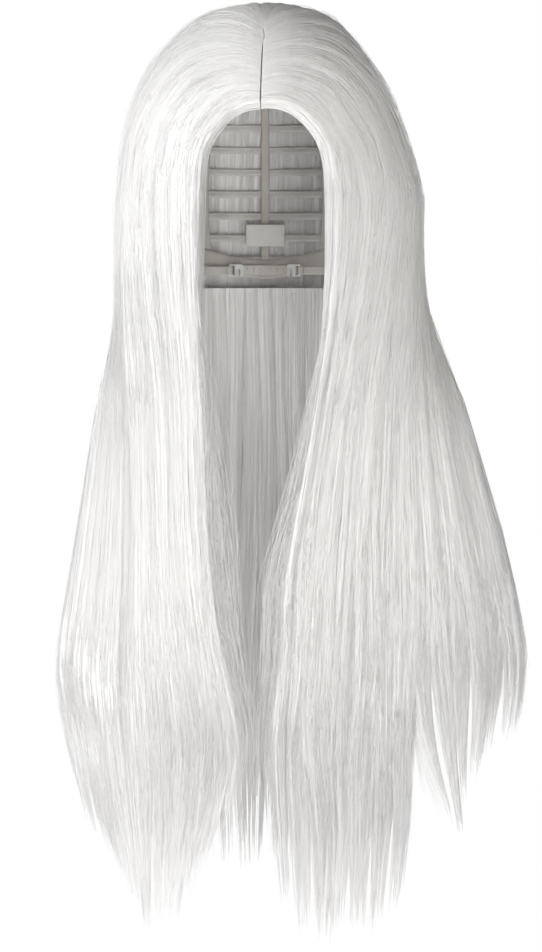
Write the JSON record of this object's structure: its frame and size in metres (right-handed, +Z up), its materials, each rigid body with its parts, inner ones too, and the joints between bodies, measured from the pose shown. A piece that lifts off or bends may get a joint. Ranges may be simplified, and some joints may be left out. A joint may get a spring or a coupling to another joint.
{
  "type": "long straight costume wig",
  "caption": "Long straight white costume wig with a centre parting, parted front curtains of hair, a back fall, and a wefted open cap with ear tabs and nape adjusters.",
  "frame": {"origin": "middle of the head opening, level with the wearer's eyes", "axes": "+Z up, the wearer faces -Y, +X is the wearer's left"},
  "size_m": [0.3317, 0.219, 0.6568],
  "materials": {
    "hair_fibre": "silky straight synthetic fibre with a soft sheen",
    "cap_net": "fine stretch net",
    "cap_tape": "woven elastic and binding tape",
    "weft_tape": "machine-stitched fibre weft",
    "part_skin": "thin soft skin-toned film",
    "label_cloth": "blank woven satin label",
    "hook_plastic": "clear moulded plastic",
    "stay_plastic": "bendable plastic strip"
  },
  "bodies": {
    "cap": {"crown_net": "cap_net", "front_band": "cap_tape", "nape_band": "cap_tape", "part_strip": "part_skin", "part_lining": "cap_net", "rib_center": "cap_tape", "rib_back_left": "cap_tape", "rib_back_right": "cap_tape", "rib_side_left": "cap_tape", "rib_side_right": "cap_tape", "weft_row_1": "weft_tape", "weft_row_2": "weft_tape", "weft_row_3": "weft_tape", "weft_row_4": "weft_tape", "weft_row_5": "weft_tape", "weft_row_6": "weft_tape", "weft_row_7": "weft_tape", "weft_row_8": "weft_tape", "size_label": "label_cloth", "loop_tape": "cap_tape", "tape_loops": "cap_tape", "top_hair_left": "hair_fibre", "top_hair_right": "hair_fibre", "crown_hair": "hair_fibre"},
    "left_fall": {"front_lock_left": "hair_fibre", "side_lock_left": "hair_fibre"},
    "right_fall": {"front_lock_right": "hair_fibre", "side_lock_right": "hair_fibre"},
    "back_hair": {"back_fall": "hair_fibre", "nape_hair": "hair_fibre"},
    "left_adjuster": {"strap_left": "cap_tape", "hook_left": "hook_plastic"},
    "right_adjuster": {"strap_right": "cap_tape", "hook_right": "hook_plastic"},
    "left_tab": {"ear_tab_left": "cap_tape", "ear_stay_left": "stay_plastic"},
    "right_tab": {"ear_tab_right": "cap_tape", "ear_stay_right": "stay_plastic"}
  },
  "joints": [
    {"name": "left_fall_swing", "type": "hinge", "parent": "cap", "child": "left_fall", "pos_m": [0.084, 0, 0.012], "axis": [0, -1, 0], "range_deg": [0, 20]},
    {"name": "right_fall_swing", "type": "hinge", "parent": "cap", "child": "right_fall", "pos_m": [-0.081, 0, 0.012], "axis": [0, 1, 0], "range_deg": [0, 20]},
    {"name": "back_hair_swing", "type": "hinge", "parent": "cap", "child": "back_hair", "pos_m": [0, 0.095, 0], "axis": [1, 0, 0], "range_deg": [0, 20]},
    {"name": "left_adjuster_slide", "type": "hinge", "parent": "cap", "child": "left_adjuster", "pos_m": [0, 0.0285, -0.0535], "axis": [0, 0, 1], "range_deg": [0, 12]},
    {"name": "right_adjuster_slide", "type": "hinge", "parent": "cap", "child": "right_adjuster", "pos_m": [0, 0.0285, -0.0535], "axis": [0, 0, -1], "range_deg": [0, 12]},
    {"name": "left_tab_bend", "type": "hinge", "parent": "cap", "child": "left_tab", "pos_m": [0.0758, -0.0219, 0.0205], "axis": [0.2112, 0.9774, 0], "range_deg": [-4, 15]},
    {"name": "right_tab_bend", "type": "hinge", "parent": "cap", "child": "right_tab", "pos_m": [-0.0758, -0.0219, 0.0205], "axis": [0.2112, -0.9774, 0], "range_deg": [-4, 15]}
  ]
}
